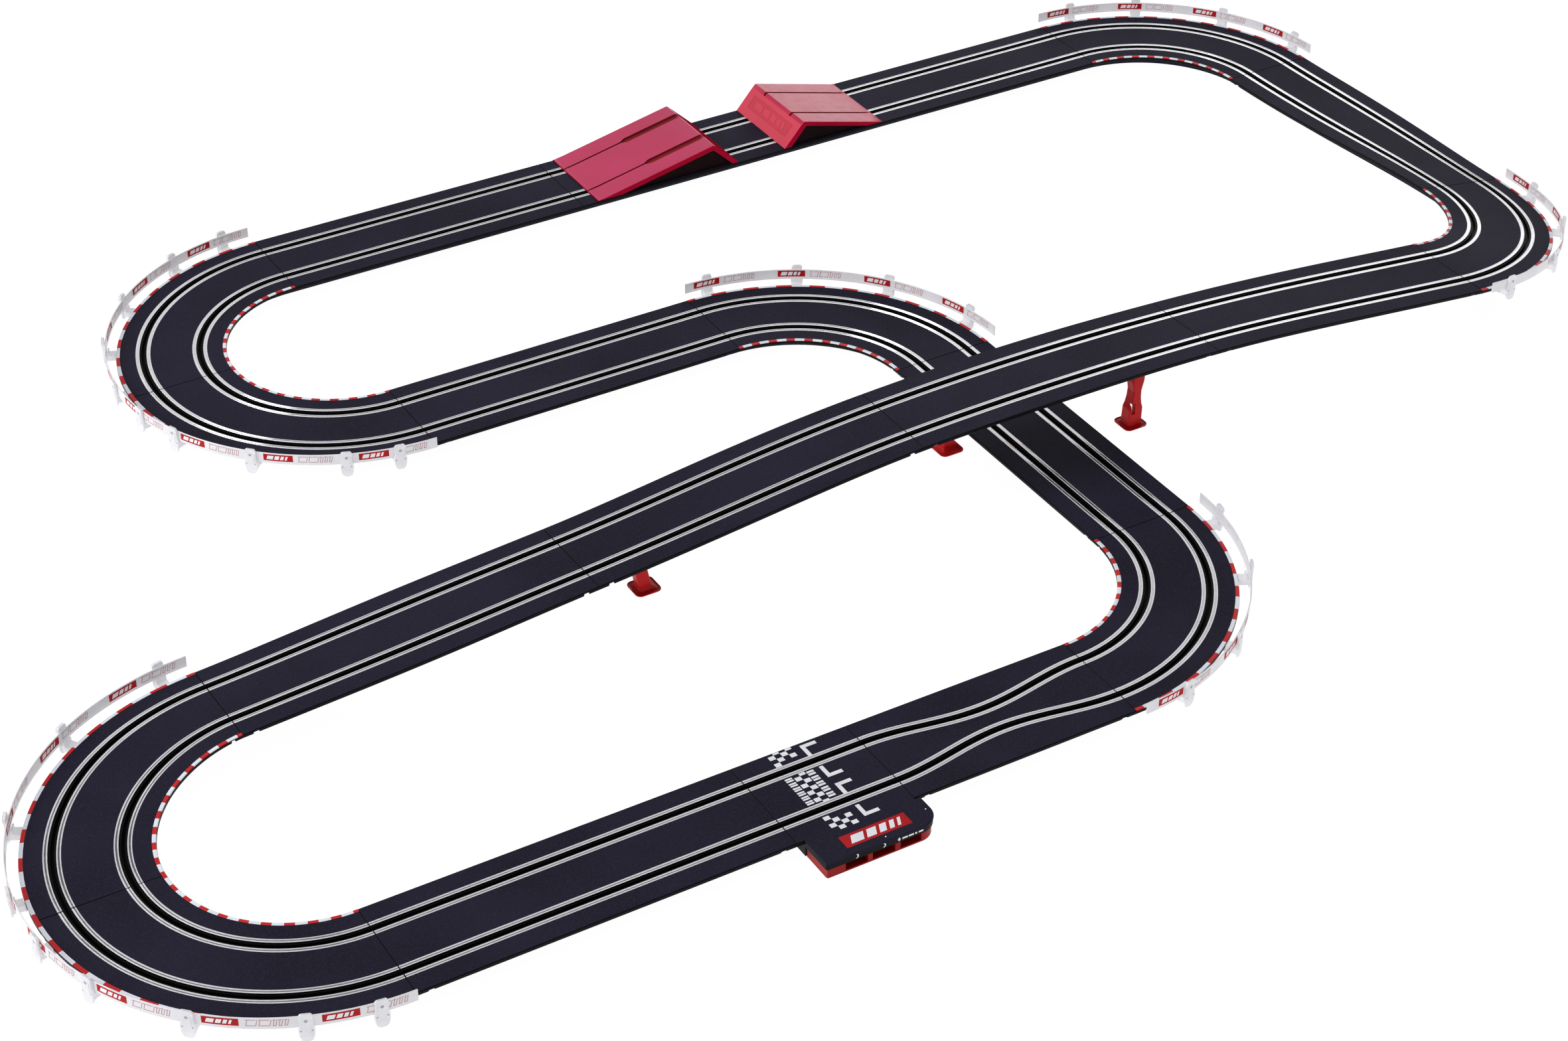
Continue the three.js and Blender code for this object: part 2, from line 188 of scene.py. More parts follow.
def srgb(r, g, b):
    """A display colour, 0 to 255, as linear RGBA."""
    def linear(channel):
        value = channel / 255
        return value / 12.92 if value <= 0.04045 else ((value + 0.055) / 1.055) ** 2.4
    return linear(r), linear(g), linear(b), 1.0


class Shader:
    """A material's node tree with short calls for the nodes that the finishes here share."""

    def __init__(self, name):
        self.material = bpy.data.materials.new(name)
        self.material.use_nodes = True
        self.nodes = self.material.node_tree.nodes
        self.links = self.material.node_tree.links
        self.surface = self.nodes["Principled BSDF"]
        self.place = self.nodes.new("ShaderNodeTexCoord").outputs["Object"]

    def set(self, **values):
        for name, value in values.items():
            self.surface.inputs[name.replace("_", " ")].default_value = value
        return self

    def noise(self, scale, detail=3.0, roughness=0.5):
        node = self.nodes.new("ShaderNodeTexNoise")
        node.inputs["Scale"].default_value = scale
        node.inputs["Detail"].default_value = detail
        node.inputs["Roughness"].default_value = roughness
        self.links.new(self.place, node.inputs["Vector"])
        return node.outputs["Fac"]

    def spread(self, value, low, high, to_low=0.0, to_high=1.0):
        node = self.nodes.new("ShaderNodeMapRange")
        node.inputs["From Min"].default_value = low
        node.inputs["From Max"].default_value = high
        node.inputs["To Min"].default_value = to_low
        node.inputs["To Max"].default_value = to_high
        self.links.new(value, node.inputs["Value"])
        return node.outputs["Result"]

    def mix(self, factor, first, second):
        node = self.nodes.new("ShaderNodeMix")
        node.data_type = "RGBA"
        inputs = [socket for socket in node.inputs if socket.type == "RGBA"]
        for socket, value in zip(inputs, (first, second)):
            if isinstance(value, tuple):
                socket.default_value = value
            else:
                self.links.new(value, socket)
        self.links.new(factor, node.inputs["Factor"])
        return [socket for socket in node.outputs if socket.type == "RGBA"][0]

    def colour(self, value):
        self.links.new(value, self.surface.inputs["Base Color"])
        return self

    def rough(self, value):
        self.links.new(value, self.surface.inputs["Roughness"])
        return self

    def bump(self, height, distance, strength=1.0):
        node = self.nodes.new("ShaderNodeBump")
        node.inputs["Distance"].default_value = distance
        node.inputs["Strength"].default_value = strength
        self.links.new(height, node.inputs["Height"])
        self.links.new(node.outputs["Normal"], self.surface.inputs["Normal"])
        return self


def asphalt():
    """Matte navy-black plastic with an orange-peel grain and a few paler specks."""
    shader = Shader("asphalt")
    broad = shader.spread(shader.noise(9.0, 2.0), 0.35, 0.65)
    tone = shader.mix(broad, srgb(26, 24, 38), srgb(33, 31, 47))
    speck = shader.spread(shader.noise(900.0, 3.0, 0.7), 0.52, 0.75)
    shader.colour(shader.mix(speck, tone, srgb(52, 49, 68)))
    grain = shader.noise(1300.0, 3.0, 0.6)
    shader.rough(shader.spread(grain, 0.3, 0.7, 0.55, 0.75))
    return shader.set(Specular_IOR_Level=0.08).bump(grain, 0.00025, 0.5).material


# Near-black for the track's skirts and end faces and the terminal's fascia and under-deck body. On the
# skirts it is painted shade: they are the deck's own plastic, darkened for the shade along the track's
# sides.
def skirt_black_and_painted_shade():
    shader = Shader("track_edge_black_and_painted_shade")
    tone = shader.spread(shader.noise(160.0), 0.3, 0.7)
    shader.colour(shader.mix(tone, srgb(8, 8, 12), srgb(15, 14, 20)))
    shader.set(Roughness=0.45, Specular_IOR_Level=0.08)
    return shader.bump(shader.noise(900.0), 0.0001, 0.3).material


# Near-black for the lane channels, the slots and the rails' flanks, and painted shade at the back and
# under the top of each terminal socket.
def slot_black_and_painted_shade():
    shader = Shader("slot_black_and_painted_shade")
    tone = shader.spread(shader.noise(200.0), 0.3, 0.7)
    shader.colour(shader.mix(tone, srgb(3, 3, 5), srgb(8, 8, 11)))
    shader.set(Roughness=0.55, Specular_IOR_Level=0.08)
    return shader.bump(shader.noise(700.0), 0.0001, 0.3).material


def rail_metal(name, dark, light, roughness, metallic):
    shader = Shader(name)
    streak = shader.spread(shader.noise(420.0, 4.0), 0.3, 0.7)
    shader.colour(shader.mix(streak, srgb(*dark), srgb(*light)))
    shader.rough(shader.spread(shader.noise(260.0), 0.3, 0.7, roughness, roughness + 0.08))
    return shader.set(Metallic=metallic).bump(shader.noise(800.0), 0.00005, 0.2).material


def paint(name, dark, light, roughness=0.45, gloss=0.3):
    shader = Shader(name)
    tone = shader.spread(shader.noise(70.0), 0.3, 0.7)
    shader.colour(shader.mix(tone, srgb(*dark), srgb(*light)))
    shader.set(Roughness=roughness, Specular_IOR_Level=gloss)
    return shader.bump(shader.noise(1400.0), 0.0001, 0.25).material


def moulded(name, dark, light, roughness, gloss=0.5):
    """Coloured plastic with slight flow marks in tone, gloss and surface."""
    shader = Shader(name)
    flow = shader.spread(shader.noise(14.0, 2.0), 0.3, 0.7)
    shader.colour(shader.mix(flow, srgb(*dark), srgb(*light)))
    shader.rough(shader.spread(shader.noise(120.0), 0.3, 0.7, roughness - 0.04, roughness + 0.05))
    shader.set(Specular_IOR_Level=gloss)
    return shader.bump(shader.noise(500.0), 0.00008, 0.25).material


def frosted(name, dark, light, alpha, glow):
    """Milky plastic that lets a little through; the glow stands for light that spreads inside it."""
    shader = Shader(name)
    tone = shader.spread(shader.noise(60.0), 0.3, 0.7)
    shader.colour(shader.mix(tone, srgb(*dark), srgb(*light)))
    shader.set(Roughness=0.3, Alpha=alpha)
    shader.set(Emission_Color=(1.0, 1.0, 1.0, 1.0), Emission_Strength=glow)
    return shader.bump(shader.noise(600.0), 0.0001, 0.25).material


def floor_paint():
    shader = Shader("studio_floor")
    tone = shader.spread(shader.noise(3.0), 0.3, 0.7)
    shader.colour(shader.mix(tone, srgb(60, 60, 60), srgb(66, 66, 66)))
    shader.set(Roughness=0.6, Emission_Color=(1.0, 1.0, 1.0, 1.0), Emission_Strength=0.98)
    return shader.material


ASPHALT = asphalt()
SKIRT_BLACK_AND_SHADE = skirt_black_and_painted_shade()
SLOT_BLACK_AND_SHADE = slot_black_and_painted_shade()
RAIL = rail_metal("rail_metal", (236, 236, 240), (252, 252, 254), 0.3, 0.5)
RAIL_VALLEY = rail_metal("rail_valley_metal", (232, 232, 238), (248, 248, 252), 0.08, 0.95)
KERB_RED = paint("kerb_red", (186, 24, 28), (202, 32, 34))
KERB_WHITE = paint("kerb_white", (222, 226, 236), (234, 238, 246))
PRINT_WHITE = paint("print_white", (226, 228, 234), (240, 241, 246))
PRINT_RED = paint("print_red", (164, 14, 20), (180, 20, 26), 0.5, 0.15)
PRINT_GREY = paint("print_grey", (176, 130, 136), (196, 150, 156))
SUPPORT_RED = moulded("support_red", (178, 18, 22), (194, 24, 28), 0.4, 0.12)
HOUSING_RED = moulded("housing_red", (136, 8, 10), (152, 12, 14), 0.4, 0.12)
# Copies of one crimson plastic for the light on each part: the take-off top paler and pinker with painted
# sheen, the landing top a redder copy, the landing's steep face and its panel lighter with painted light.
TAKE_OFF_SHEEN_CRIMSON = moulded("take_off_crimson_painted_sheen", (187, 46, 87), (197, 50, 95), 0.34)
LANDING_TOP_LIGHT_COPY = moulded("landing_crimson_light_copy", (178, 10, 60), (188, 14, 66), 0.32)
# Painted shade: a darker copy of the crimson for the ramps' sides and the take-off's faces off its top.
RAMP_SIDE_SHADE = moulded("ramp_side_painted_shade", (150, 10, 38), (164, 14, 44), 0.5, 0.0)
# Painted shade: a darker red for the recesses of the ramps' grooves.
GROOVE_SHADE = moulded("ramp_groove_painted_shade", (120, 8, 20), (138, 14, 28), 0.5)
# Painted shade: near-black for the ramps' undersides and the walls under them, where the crimson plastic
# lies in shade.
UNDER_SHADE = moulded("ramp_underside_painted_shade", (14, 2, 4), (22, 3, 6), 0.6, 0.05)
LANDING_FACE_LIGHT = moulded("landing_face_painted_light", (202, 48, 72), (212, 54, 80), 0.4)
LANDING_PANEL_LIGHT = moulded("landing_panel_painted_light", (190, 38, 62), (202, 44, 70), 0.4)
FROSTED = frosted("fence_plastic", (216, 215, 220), (226, 225, 230), 0.9, 0.09)
CLEAR = frosted("holder_plastic", (214, 214, 219), (226, 226, 230), 0.72, 0.14)
# Painted shade: a darker grey disc stands for the shade inside each holder's hole; the two pin marks take
# the same grey.
HOLE_SHADE = paint("holder_hole_painted_shade", (160, 158, 164), (178, 176, 182))
STEEL = paint("contact_steel", (186, 186, 190), (208, 208, 212), 0.32)
STEEL.node_tree.nodes["Principled BSDF"].inputs["Metallic"].default_value = 1.0


# ---------------------------------------------------------------- mesh building

SHARP_ANGLE = 32.0       # edges that bend by more than this stay sharp


class Piece:
    """Vertices and faces in route millimetres that become one object riding on a body."""

    def __init__(self, name, materials, slot=None, body="track"):
        self.name = name
        self.materials = materials
        self.slot = slot
        self.body = body
        self.points = []
        self.faces = []
        self.finishes = []

    def grid(self, rows, finish):
        """Joins rows of equally many points into a tube closed at both ends; finish(i, j) picks the
        material of the face after point j between rows i and i + 1."""
        base = len(self.points)
        width = len(rows[0])
        for row in rows:
            self.points.extend(row)
        for i in range(len(rows) - 1):
            for j in range(width):
                k = (j + 1) % width
                corner = base + i * width
                self.faces.append((corner + j, corner + k, corner + width + k, corner + width + j))
                self.finishes.append(finish(i, j))
        last = base + (len(rows) - 1) * width
        self.faces.append(tuple(base + j for j in reversed(range(width))))
        self.faces.append(tuple(last + j for j in range(width)))
        self.finishes.extend((finish(0, 0), finish(len(rows) - 2, 0)))

    def make(self, replaces=()):
        mesh = bpy.data.meshes.new(self.name)
        mesh.from_pydata([put(*point) for point in self.points], [], self.faces)
        for material in self.materials:
            mesh.materials.append(material)
        mesh.polygons.foreach_set("material_index", self.finishes)
        tidy = bmesh.new()
        tidy.from_mesh(mesh)
        bmesh.ops.recalc_face_normals(tidy, faces=tidy.faces)
        tidy.to_mesh(mesh)
        tidy.free()
        mesh.shade_smooth()
        mesh.set_sharp_from_angle(angle=math.radians(SHARP_ANGLE))
        piece = bpy.data.objects.new(self.name, mesh)
        bpy.context.scene.collection.objects.link(piece)
        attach(piece, self.body)
        if replaces:
            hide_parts(*replaces)


def spaced(low, high, step):
    """Evenly spaced numbers from low to high, about a step apart."""
    count = max(1, round((high - low) / step))
    return [low + (high - low) * i / count for i in range(count + 1)]


# ---------------------------------------------------------------- track sections

END_GAP = 0.02           # from the joint to the visible end face
END_CHAMFER = 0.5        # along the track and down
EDGE_BEVEL = 0.8
DECK_HALF = HALF_WIDTH - 0.1
CHANNEL_HALF = 7.5
CHANNEL_DEPTH = 0.9
NOTCH = (9.8, 14.8)      # where the skirt is cut away near each end
NOTCH_RAMP = 0.7
NOTCH_CEILING = {"in_air": 1.2, "on_floor": 2.8}     # depth of skirt that is left in a notch
SMALL = 0.01             # slack for comparing places
RAIL_CENTRE = 5.5
RAIL_HALF = 1.95
CHICANE_STEP = 6.0       # between the rows of points along a section
FLEXED_STEP = 18.0
CURVE_STEP = math.radians(2.25) * CURVE_RADIUS
HALF_OUTLINE = 18        # points in half of a deck's outline
LANE_FACES = range(0, 7)     # the faces of that half that line the lane's channel and slot
SKIRT_FACES = range(8, 13)   # and those of the bevelled edge and the skirt


def squeeze(section, s):
    """How far each lane is shifted towards the middle."""
    if section["name"] != "chicane":
        return 0.0
    return LANE_SQUEEZE * (1 - math.cos(2 * math.pi * s / section["length"])) / 2


def raised(section):
    return section["rise"] or section["start_rise"]


def step_of(section):
    if section["name"] == "chicane":
        return CHICANE_STEP
    if section["turn"]:
        return CURVE_STEP
    return FLEXED_STEP if raised(section) else section["length"]


def stations(section):
    """Distances along a section: regular steps, the end chamfers and both sides of each notch."""
    length = section["length"]
    places = set(spaced(END_GAP, length - END_GAP, step_of(section)))
    for edge in (END_GAP + END_CHAMFER, NOTCH[0], NOTCH[0] + NOTCH_RAMP, NOTCH[1], NOTCH[1] + NOTCH_RAMP):
        places.update((edge, length - edge))
    return sorted(places)


def in_notch(section, s):
    near = min(s, section["length"] - s)
    return NOTCH[0] + NOTCH_RAMP - SMALL <= near <= NOTCH[1] + SMALL


def deck_profile(section, s):
    """The deck's closed outline across the track, from the middle out, under and back, as (t, z)."""
    near_end = min(s, section["length"] - s) < END_GAP + END_CHAMFER / 2
    top = -END_CHAMFER if near_end else 0.0
    ceiling = NOTCH_CEILING["in_air" if raised(section) else "on_floor"]
    skirt = -ceiling if in_notch(section, s) else -SKIRT_DEPTH
    lane = LANE - squeeze(section, s)
    channel, slot, keel = CHANNEL_HALF, SLOT_HALF, KEEL_HALF
    half = [
        (lane - channel, top), (lane - channel, -CHANNEL_DEPTH), (lane - slot, -CHANNEL_DEPTH),
        (lane - slot, -SLOT_DEPTH), (lane + slot, -SLOT_DEPTH), (lane + slot, -CHANNEL_DEPTH),
        (lane + channel, -CHANNEL_DEPTH), (lane + channel, top),
        (DECK_HALF - EDGE_BEVEL, top), (DECK_HALF, top - EDGE_BEVEL),
        (DECK_HALF, skirt + 0.35), (DECK_HALF - 0.35, skirt), (DECK_HALF - 1.8, skirt),
        (DECK_HALF - 2.0, -DECK_THICKNESS), (lane + keel, -DECK_THICKNESS), (lane + keel, -KEEL_DEPTH),
        (lane - keel, -KEEL_DEPTH), (lane - keel, -DECK_THICKNESS),
    ]
    return half + [(-t, z) for t, z in reversed(half)]


def deck_finish(j):
    """0 on the running surface and underside, 1 on the skirts, near-black as painted shade, 2 in the lane
    channels.
    """
    j = min(j, 2 * HALF_OUTLINE - 2 - j)
    if j in LANE_FACES:
        return 2
    return 1 if j in SKIRT_FACES else 0


def build_deck(section):
    piece = Piece(section["name"] + "_deck", [ASPHALT, SKIRT_BLACK_AND_SHADE, SLOT_BLACK_AND_SHADE], "track_plastic")
    rows = []
    for s in stations(section):
        rows.append([along([section], s, t, z) for t, z in deck_profile(section, s)])
    ends = (0, len(rows) - 2)
    piece.grid(rows, lambda i, j: deck_finish(j) or int(i in ends))
    return piece


RAIL_PROFILE = [
    (-RAIL_HALF, -0.85), (-RAIL_HALF, 0.05), (-1.75, 0.3), (-0.85, 0.3), (-0.5, -0.1),
    (0.5, -0.1), (0.85, 0.3), (1.75, 0.3), (RAIL_HALF, 0.05), (RAIL_HALF, -0.85),
]
RAIL_FINISH = (2, 0, 0, 1, 1, 1, 0, 0, 2, 2)     # dark flanks, bright lips, mirror-like valley
RAIL_END_GAP = 0.5


def build_rails(section):
    """Four folded metal rails, two to a lane, each with a raised lip along both sides."""
    piece = Piece(section["name"] + "_rails", [RAIL, RAIL_VALLEY, SLOT_BLACK_AND_SHADE], "rail_metal")
    length = section["length"]
    places = spaced(RAIL_END_GAP, length - RAIL_END_GAP, step_of(section))
    for side in (-1, 1):
        for rail in (-RAIL_CENTRE, RAIL_CENTRE):
            rows = []
            for s in places:
                centre = side * (LANE - squeeze(section, s)) + rail
                rows.append([along([section], s, centre + t, z) for t, z in RAIL_PROFILE])
            piece.grid(rows, lambda i, j: RAIL_FINISH[j])
    return piece


# ---------------------------------------------------------------- kerbs

KERB_PERIODS = 10        # pairs of a red and a white block along a curve
RED_SHARE = 0.47
KERB_INNER = HALF_WIDTH - 3.8
KERB_PROFILE = [
    (KERB_INNER, -0.5), (KERB_INNER, 0.12), (KERB_INNER + 0.15, 0.25), (HALF_WIDTH - 0.8, 0.25),
    (HALF_WIDTH - 0.2, -0.35), (HALF_WIDTH - 1.0, -1.4),
]


def build_kerbs(section):
    """Red and white blocks along both edges of a curve, half a red block at each end."""
    piece = Piece(section["name"] + "_kerbs", [KERB_RED, KERB_WHITE])
    period = (section["length"] - 2 * END_GAP) / KERB_PERIODS
    red = period * RED_SHARE
    places, colours = [END_GAP], []
    for k in range(KERB_PERIODS):
        start = END_GAP + k * period
        for end, colour in ((start + red / 2, 0), (start + period - red / 2, 1), (start + period, 0)):
            places += [(places[-1] + end) / 2, end]
            colours += [colour, colour]
    for side in (-1, 1):
        rows = [[along([section], s, side * t, z) for t, z in KERB_PROFILE] for s in places]
        piece.grid(rows, lambda i, j: colours[i])
    return piece


for section in ROUTE:
    build_deck(section).make(replaces=[section["name"]])
    build_rails(section).make()
    if section["turn"]:
        build_kerbs(section).make()


# ---------------------------------------------------------------- prisms in the route frame

def prism(piece, outline, bottom, top, finish, bevel, place):
    """A slab from bottom to top with an anticlockwise outline, its upper edge bevelled. place(x, y, z)
    takes the slab's own axes to the route frame."""
    rows = [[(x, y, bottom) for x, y in outline]]
    if bevel:
        rows.append([(x, y, top - bevel) for x, y in outline])
        rows.append([(x, y, top) for x, y in shrink(outline, bevel)])
    else:
        rows.append([(x, y, top) for x, y in outline])
    piece.grid([[place(*point) for point in row] for row in rows], lambda i, j: finish)


def shrink(outline, inset):
    """An anticlockwise outline moved inwards by inset."""
    moved = []
    for i, (x, y) in enumerate(outline):
        before = Vector(outline[i - 1])
        after = Vector(outline[(i + 1) % len(outline)])
        here = Vector((x, y))
        first = (here - before).normalized()
        second = (after - here).normalized()
        normal = Vector((-first.y - second.y, first.x + second.x))
        scale = inset * 2 / max(normal.length_squared, 1e-6)
        moved.append((x + normal.x * scale, y + normal.y * scale))
    return moved


def rectangle(x0, x1, y0, y1):
    return [(x0, y0), (x1, y0), (x1, y1), (x0, y1)]


def arc(cx, cy, radius, start, end, count):
    angles = [math.radians(start + (end - start) * i / count) for i in range(count + 1)]
    return [(cx + radius * math.cos(a), cy + radius * math.sin(a)) for a in angles]


# ---------------------------------------------------------------- start line and terminal

CONNECTING_X = SECTION["connecting_section"]["x"]
CONNECTING_Y = SECTION["connecting_section"]["y"]
WING = {"left": 7.2, "right": 118.8, "front": 89.8, "depth": 6.9, "corner": 18.0}
SMALL_CORNER = 2.0
WING_BACK = -HALF_WIDTH - 0.6   # beside the chicane
SEAM = -HALF_WIDTH + 3.0        # where the wing's top runs on over the deck's edge
SECTION_END = SECTION["connecting_section"]["length"] - 0.4
PRINT_HEIGHT = 0.1


def wing_outline(inset):
    """The terminal's plan, anticlockwise, in the connecting section's frame."""
    left, right = WING["left"] + inset, WING["right"] - inset
    front, corner = -WING["front"] + inset, WING["corner"]
    points = arc(left + SMALL_CORNER, front + SMALL_CORNER, SMALL_CORNER, 180, 270, 4)
    points += arc(right - corner, front + corner, corner, -90, 0, 12)
    return points + [(right, WING_BACK), (SECTION_END, WING_BACK), (SECTION_END, SEAM), (left, SEAM)]


def at_connecting(x, y, z):
    return CONNECTING_X + x, CONNECTING_Y + y, z


def lay(piece, outline, bottom, top, finish=0, bevel=0.0):
    """A prism on the connecting section."""
    prism(piece, outline, bottom, top, finish, bevel, at_connecting)


def build_wing():
    piece = Piece("terminal_top", [ASPHALT, SKIRT_BLACK_AND_SHADE], "track_plastic")
    lay(piece, wing_outline(0.3), -WING["depth"], -1.0, 1)
    lay(piece, wing_outline(0.0), -1.4, 0.04, 0, 0.7)
    body = rectangle(WING["left"] + 0.7, SECTION_END - 0.8, -HALF_WIDTH + 0.1, -LANE - KEEL_HALF)
    lay(piece, body, -KEEL_DEPTH, -DECK_THICKNESS - 0.1, 1)
    return piece


CHECK = 5.15             # height of a printed square
COLUMN = 6.0             # and its width
BAR_SHARE = 0.3          # height of a bar that stands for lettering, as a share of a pair's pitch
BAR_LENGTH = 6.8


def patch(piece, x0, x1, y0, y1):
    """A printed rectangle on the connecting section."""
    lay(piece, rectangle(x0, x1, y0, y1), -0.1, PRINT_HEIGHT)


def checks(piece, left, rows):
    """Printed squares: rows holds (far edge, near edge, columns), columns counted from the left."""
    for far, near, columns in rows:
        for column in columns:
            x = left + column * COLUMN
            patch(piece, x + 0.1, x + COLUMN - 0.1, near + 0.1, far - 0.1)


def bracket(piece, y, arm_up):
    """A grid box mark: a stem across the lane and an arm along it."""
    stem, arm, reach, left = 15.7, 4.0, 15.2, 65.8
    patch(piece, left, left + 3.8, y - stem, y)
    low = y - arm if arm_up else y - stem
    patch(piece, left + 3.7, left + reach, low, low + arm)


def build_start_print():
    piece = Piece("start_line_print", [PRINT_WHITE])
    checks(piece, 34.5, [
        (54.3, 51.6, (1, 3)), (51.6, 46.4, (0, 2)), (46.4, 41.3, (1, 3)), (41.3, 36.2, (0,)),
    ])
    centre = [(20.5, 17.0, (1,))]
    centre += [(17.0 - k * CHECK, 17.0 - (k + 1) * CHECK, (k % 2,)) for k in range(7)]
    centre += [(-19.05, -22.0, (1,))]
    checks(piece, 40.0, centre)
    checks(piece, 34.2, [
        (-38.0, -43.0, (0,)), (-43.0, -48.2, (1, 3)), (-48.2, -53.3, (0, 2)),
        (-53.3, -58.2, (1, 3)),
    ])
    for y, arm_up in ((51.5, True), (19.5, False), (-6.0, True), (-38.3, False)):
        bracket(piece, y, arm_up)
    for x, count in ((32.0, 6), (53.0, 5)):
        pitch = 40.0 / count
        for k in range(count):
            y = 19.2 - k * pitch
            for stroke in (0.0, 0.42):
                low = y - pitch * (stroke + BAR_SHARE)
                patch(piece, x, x + BAR_LENGTH, low, low + pitch * BAR_SHARE)
    return piece


def build_badge():
    """A plain red plate with slanted white stripes."""
    piece = Piece("terminal_badge", [PRINT_RED, PRINT_WHITE])
    lay(piece, rectangle(32.5, 95.5, -81.0, -66.0), -0.1, 0.12)
    x = 38.5
    for width in (12.0, 9.0, 6.5, 4.5, 3.0):
        stripe = [(x, -78.2), (x + width, -78.2), (x + width + 4.0, -69.0), (x + 4.0, -69.0)]
        lay(piece, stripe, 0.0, 0.2, 1)
        x += width + 3.2
    for x, y in ((67.0, -84.5), (114.0, -72.0)):
        lay(piece, arc(x, y, 0.7, 0, 315, 7), -0.1, 0.1, 1)
    return piece


SOCKETS = ((26.5, 48.0), (52.5, 74.5), (79.5, 100.0))
SOCKET_TOP = 8.0         # below the running surface
SOCKET_BOTTOM = 15.5
SOCKET_DEPTH = 17.0      # from the front to the back
HOUSING_INSET = 1.6      # from the wing's edge to the housing's
HOUSING_CORNER = 16.5


def build_fascia_marks():
    """Small white marks over the sockets: a crescent for each controller, dashes for the power."""
    piece = Piece("terminal_marks", [PRINT_WHITE])
    face = -WING["front"] + 0.3

    def upright(x, z, depth):
        return CONNECTING_X + x, CONNECTING_Y + face - depth, z

    for centre in (35.8, 62.0):
        outer = arc(centre, -3.7, 2.3, -80, 80, 8)
        inner = arc(centre - 1.0, -3.7, 2.1, 80, -80, 8)
        prism(piece, outer + inner, -0.1, 0.1, 0, 0.0, upright)
    diamond = [(75.6, -3.9), (77.1, -5.6), (78.6, -3.9), (77.1, -1.6)]
    prism(piece, diamond, -0.1, 0.1, 0, 0.0, upright)
    for k, width in enumerate((5.2, 5.0, 2.0, 4.4)):
        x = 80.2 + k * 6.2 - (2.6 if k == 3 else 0.0)
        prism(piece, rectangle(x, x + width, -4.7, -3.0), -0.1, 0.1, 0, 0.0, upright)
    return piece


def build_housing():
    """The red lower housing: a floor, a back block and walls between the three sockets."""
    piece = Piece("terminal_lower", [HOUSING_RED, SLOT_BLACK_AND_SHADE, STEEL], "red_plastic")
    left, right = WING["left"] + HOUSING_INSET, WING["right"] - HOUSING_INSET
    front = -WING["front"] + HOUSING_INSET
    back = front + SOCKET_DEPTH
    roof, floor = -WING["depth"] - 0.3, -KEEL_DEPTH
    wall_foot = -SOCKET_BOTTOM - 0.1
    corner = arc(right - HOUSING_CORNER, front + HOUSING_CORNER, HOUSING_CORNER, -90, -5, 12)
    lay(piece, rectangle(left, right, back, WING_BACK), floor, roof)
    # A near-black panel at the back of the sockets: partly their black contacts, partly painted shade of
    # the sockets' depth.
    socket_back_shade = rectangle(SOCKETS[0][0], SOCKETS[2][1], back - 5.0, back + 0.1)
    lay(piece, socket_back_shade, wall_foot, roof, 1)
    floor_plan = arc(left + SMALL_CORNER, front + SMALL_CORNER, SMALL_CORNER, 180, 270, 4)
    floor_plan += corner + [(right, back), (left, back)]
    lay(piece, floor_plan, floor, -SOCKET_BOTTOM)
    walls = [(left, SOCKETS[0][0])]
    walls += [(SOCKETS[i][1], SOCKETS[i + 1][0]) for i in range(2)]
    for x0, x1 in walls:
        lay(piece, rectangle(x0, x1, front, back), wall_foot, roof)
    last = [(SOCKETS[2][1], front)] + corner + [(right, back), (SOCKETS[2][1], back)]
    lay(piece, last, wall_foot, roof)
    for x0, x1 in SOCKETS:
        # each socket's ceiling is near-black: painted shade inside the socket
        lay(piece, rectangle(x0 - 0.1, x1 + 0.1, front, back), -SOCKET_TOP, roof, 1)
        for k in range(3):
            x = x0 + (x1 - x0) * (k + 1) / 4
            pin = rectangle(x - 0.9, x + 0.9, back - 9, back + 0.1)
            lay(piece, pin, -13.2, -10.4, 2, 0.3)
    return piece


build_wing().make()
build_start_print().make()
build_badge().make()
build_fascia_marks().make()
build_housing().make(replaces=["terminal_housing"])


# ---------------------------------------------------------------- jump ramps

RAMP_HALF = 54.5
RAMP_RIM = 0.5           # width of the rounded edge along each side
RIM_DROP = 0.35          # and how far it lies below the running face
RAMP_FLOOR = 0.4         # height of a ramp's foot, just clear of the rails
JUMP_Y = SECTION["jump_straight_1"]["y"]
GROOVE_DEPTH = 2.4
GROOVE_SHARE = 0.7       # a groove sinks no deeper than this share of the ramp's height
GROOVE_EDGE = 0.15
TAKE_OFF_X = 702.0
TAKE_OFF_CREST = (147.0, 29.8)     # distance from the low end, and height
TAKE_OFF_FOOT = 178.5
LANDING_X = 941.0
LANDING_CREST = (24.7, 27.9)
LANDING_LENGTH = 130.0
LANDING_GROOVE_HALF = 1.7
GROOVE_COLUMNS = (2, 3, 4, 6, 7, 8)    # the strips across a ramp that line its two grooves
# where the near-black walls of painted shade stand across the ramp
SHADE_WALLS = ((-51.5, -50.5), (50.5, 51.5))


def ramp_columns(half_width):
    """Places across a ramp as (y, in groove) for the groove half-width at one point of the profile."""
    columns = [(-RAMP_HALF, 0), (-RAMP_HALF + RAMP_RIM, 0)]
    for lane in (-LANE, LANE):
        outer, inner = half_width, half_width - GROOVE_EDGE
        columns += [(lane - outer, 0), (lane - inner, 1), (lane + inner, 1), (lane + outer, 0)]
    columns += [(RAMP_HALF - RAMP_RIM, 0), (RAMP_HALF, 0)]
    return columns


